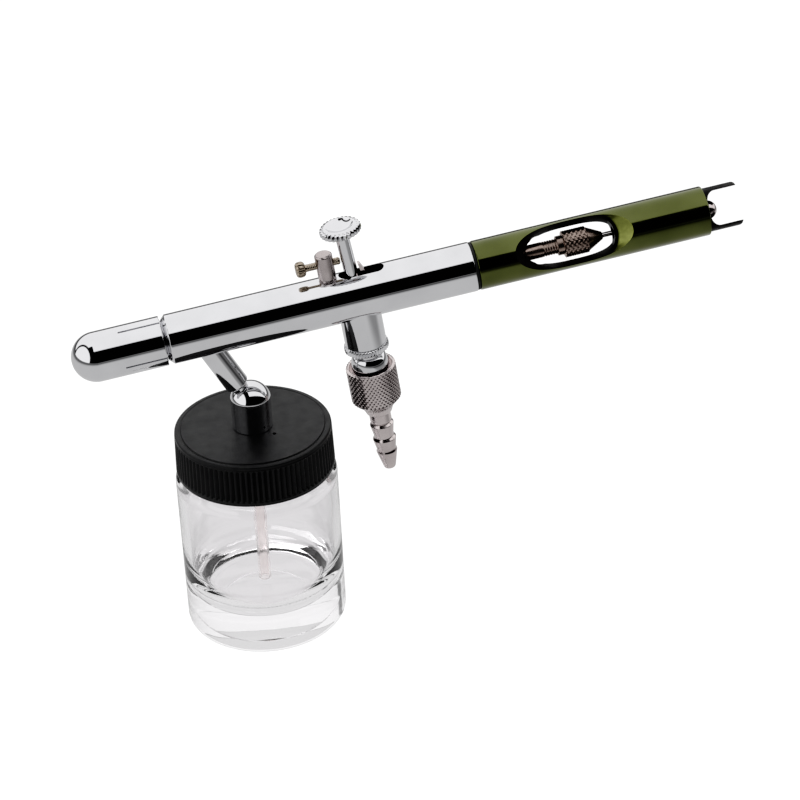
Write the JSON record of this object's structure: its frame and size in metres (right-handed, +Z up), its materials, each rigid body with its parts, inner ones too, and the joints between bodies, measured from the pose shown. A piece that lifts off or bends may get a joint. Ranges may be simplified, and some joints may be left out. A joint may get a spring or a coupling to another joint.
{
  "type": "airbrush",
  "caption": "Siphon-feed double-action airbrush with a chrome barrel, windowed handle, trigger, barbed hose coupling and a lidded glass colour jar.",
  "frame": {"origin": "centre of the flat underside of the glass jar, which stands upright", "axes": "+Z up the jar's axis; +X back along the gun towards its tail; XZ is the gun's plane of symmetry; the barrel is tilted 6.82 degrees, tail up"},
  "size_m": [0.1632, 0.0396, 0.1063],
  "materials": {
    "chrome": "polished chrome plate",
    "nickel": "satin nickel plate",
    "tinted_brass": "nickelled brass, worn",
    "brass": "bare machined brass",
    "needle_steel": "ground stainless steel",
    "spring_steel": "drawn wire",
    "green_anodised": "olive green anodised, gloss",
    "black_plastic": "moulded, satin",
    "clear_glass": "clear, thick-walled",
    "clear_plastic": "translucent tube",
    "liner": "foam liner",
    "ptfe": "white seal",
    "black_rubber": "smooth seal"
  },
  "bodies": {
    "body": {"body_shell": "chrome", "siphon_socket": "chrome", "stop_post": "nickel", "nozzle_head": "chrome", "fluid_nozzle": "brass", "air_cap": "chrome", "head_seal": "ptfe", "needle_packing": "ptfe", "packing_screw": "nickel", "valve_casing": "chrome", "valve_guide_screw": "nickel", "valve_spring": "spring_steel", "spring_case": "nickel", "needle_spring": "spring_steel"},
    "cap": {"protective_cap": "chrome"},
    "plunger": {"valve_plunger": "nickel", "valve_o_ring": "black_rubber"},
    "trigger": {"trigger_stem": "chrome", "trigger_button": "chrome", "trigger_pin": "nickel"},
    "lever": {"back_lever": "nickel"},
    "needle_group": {"needle": "needle_steel", "chuck_tube": "nickel"},
    "chuck": {"chuck_nut": "nickel"},
    "stop": {"stop_screw": "tinted_brass"},
    "neck": {"siphon_neck": "chrome"},
    "jar_top": {"siphon_elbow": "chrome", "jar_lid": "black_plastic", "lid_nut": "nickel", "siphon_tube": "clear_plastic"},
    "gasket": {"jar_gasket": "liner"},
    "jar": {"glass_jar": "clear_glass"},
    "joint_ring": {"handle_washer": "black_rubber"},
    "handle_body": {"handle": "green_anodised"},
    "tail_ring": {"tail_o_ring": "black_rubber"},
    "tail": {"tail_screw": "nickel"},
    "barb": {"hose_barb": "nickel", "hose_washer": "ptfe"},
    "coupling_nut": {"hose_nut": "nickel"}
  },
  "joints": [
    {"name": "cap_pull", "type": "slide", "parent": "body", "child": "cap", "axis": [-0.9929, 0, -0.1188], "range_m": [0, 0.024]},
    {"name": "trigger_press", "type": "slide", "parent": "body", "child": "plunger", "axis": [0.1188, 0, -0.9929], "range_m": [0, 0.0022], "stiffness_N_per_m": 400, "springref_m": -0.004, "deforming": ["valve_spring"]},
    {"name": "trigger_pull", "type": "hinge", "parent": "plunger", "child": "trigger", "pos_m": [0.02774, 0, 0.08405], "axis": [0, 1, 0], "range_deg": [0, 24.02]},
    {"name": "lever_swing", "type": "hinge", "parent": "body", "child": "lever", "pos_m": [0.03122, 0, 0.08376], "axis": [0, 1, 0], "range_deg": [0, 26.5]},
    {"name": "needle_slide", "type": "slide", "parent": "body", "child": "needle_group", "axis": [0.9929, 0, 0.1188], "range_m": [0, 0.003], "stiffness_N_per_m": 300, "springref_m": -0.005, "deforming": ["needle_spring"]},
    {"name": "chuck_turn", "type": "hinge", "parent": "needle_group", "child": "chuck", "pos_m": [0.08087, 0, 0.09302], "axis": [0.9929, 0, 0.1188], "range_deg": [0, 180]},
    {"name": "stop_screw_out", "type": "slide", "parent": "body", "child": "stop", "axis": [-0.9929, 0, -0.1188], "range_m": [0, 0.003]},
    {"name": "neck_pull", "type": "slide", "parent": "body", "child": "neck", "axis": [0.4694, 0, -0.883], "range_m": [0, 0.012]},
    {"name": "jar_swivel", "type": "hinge", "parent": "neck", "child": "jar_top", "pos_m": [0, 0, 0.06099], "axis": [0.4694, 0, -0.883], "range_deg": [-45, 45]},
    {"name": "jar_unscrew", "type": "slide", "parent": "jar_top", "child": "gasket", "axis": [0, 0, -1], "range_m": [0, 0.006]},
    {"name": "jar_spin", "type": "hinge", "parent": "gasket", "child": "jar", "pos_m": [0, 0, 0.05], "axis": [0, 0, -1], "range_deg": [0, 721]},
    {"name": "handle_unscrew", "type": "slide", "parent": "body", "child": "joint_ring", "axis": [0.9929, 0, 0.1188], "range_m": [0, 0.009]},
    {"name": "handle_spin", "type": "hinge", "parent": "joint_ring", "child": "handle_body", "pos_m": [0.062, 0, 0.09077], "axis": [0.9929, 0, 0.1188], "range_deg": [0, 3241]},
    {"name": "tail_screw_travel", "type": "slide", "parent": "handle_body", "child": "tail_ring", "axis": [0.9929, 0, 0.1188], "range_m": [-0.001, 0.003]},
    {"name": "tail_screw_spin", "type": "hinge", "parent": "tail_ring", "child": "tail", "pos_m": [0.10917, 0, 0.09641], "axis": [0.9929, 0, 0.1188], "range_deg": [-515.29, 1543.86]},
    {"name": "hose_unscrew", "type": "slide", "parent": "body", "child": "barb", "axis": [0.1188, 0, -0.9929], "range_m": [0, 0.005]},
    {"name": "hose_nut_spin", "type": "hinge", "parent": "barb", "child": "coupling_nut", "pos_m": [0.0301, 0, 0.06278], "axis": [0.1188, 0, -0.9929], "range_deg": [0, 2001]}
  ],
  "couplings": [
    {"joint": "trigger_pull", "follows": "needle_slide", "rad_per_m": 139.63},
    {"joint": "lever_swing", "follows": "needle_slide", "rad_per_m": 153.59},
    {"joint": "jar_spin", "follows": "jar_unscrew", "rad_per_m": 2094.4},
    {"joint": "handle_spin", "follows": "handle_unscrew", "rad_per_m": 6283.2},
    {"joint": "tail_screw_spin", "follows": "tail_screw_travel", "rad_per_m": 8976},
    {"joint": "hose_nut_spin", "follows": "hose_unscrew", "rad_per_m": 6981.3}
  ]
}
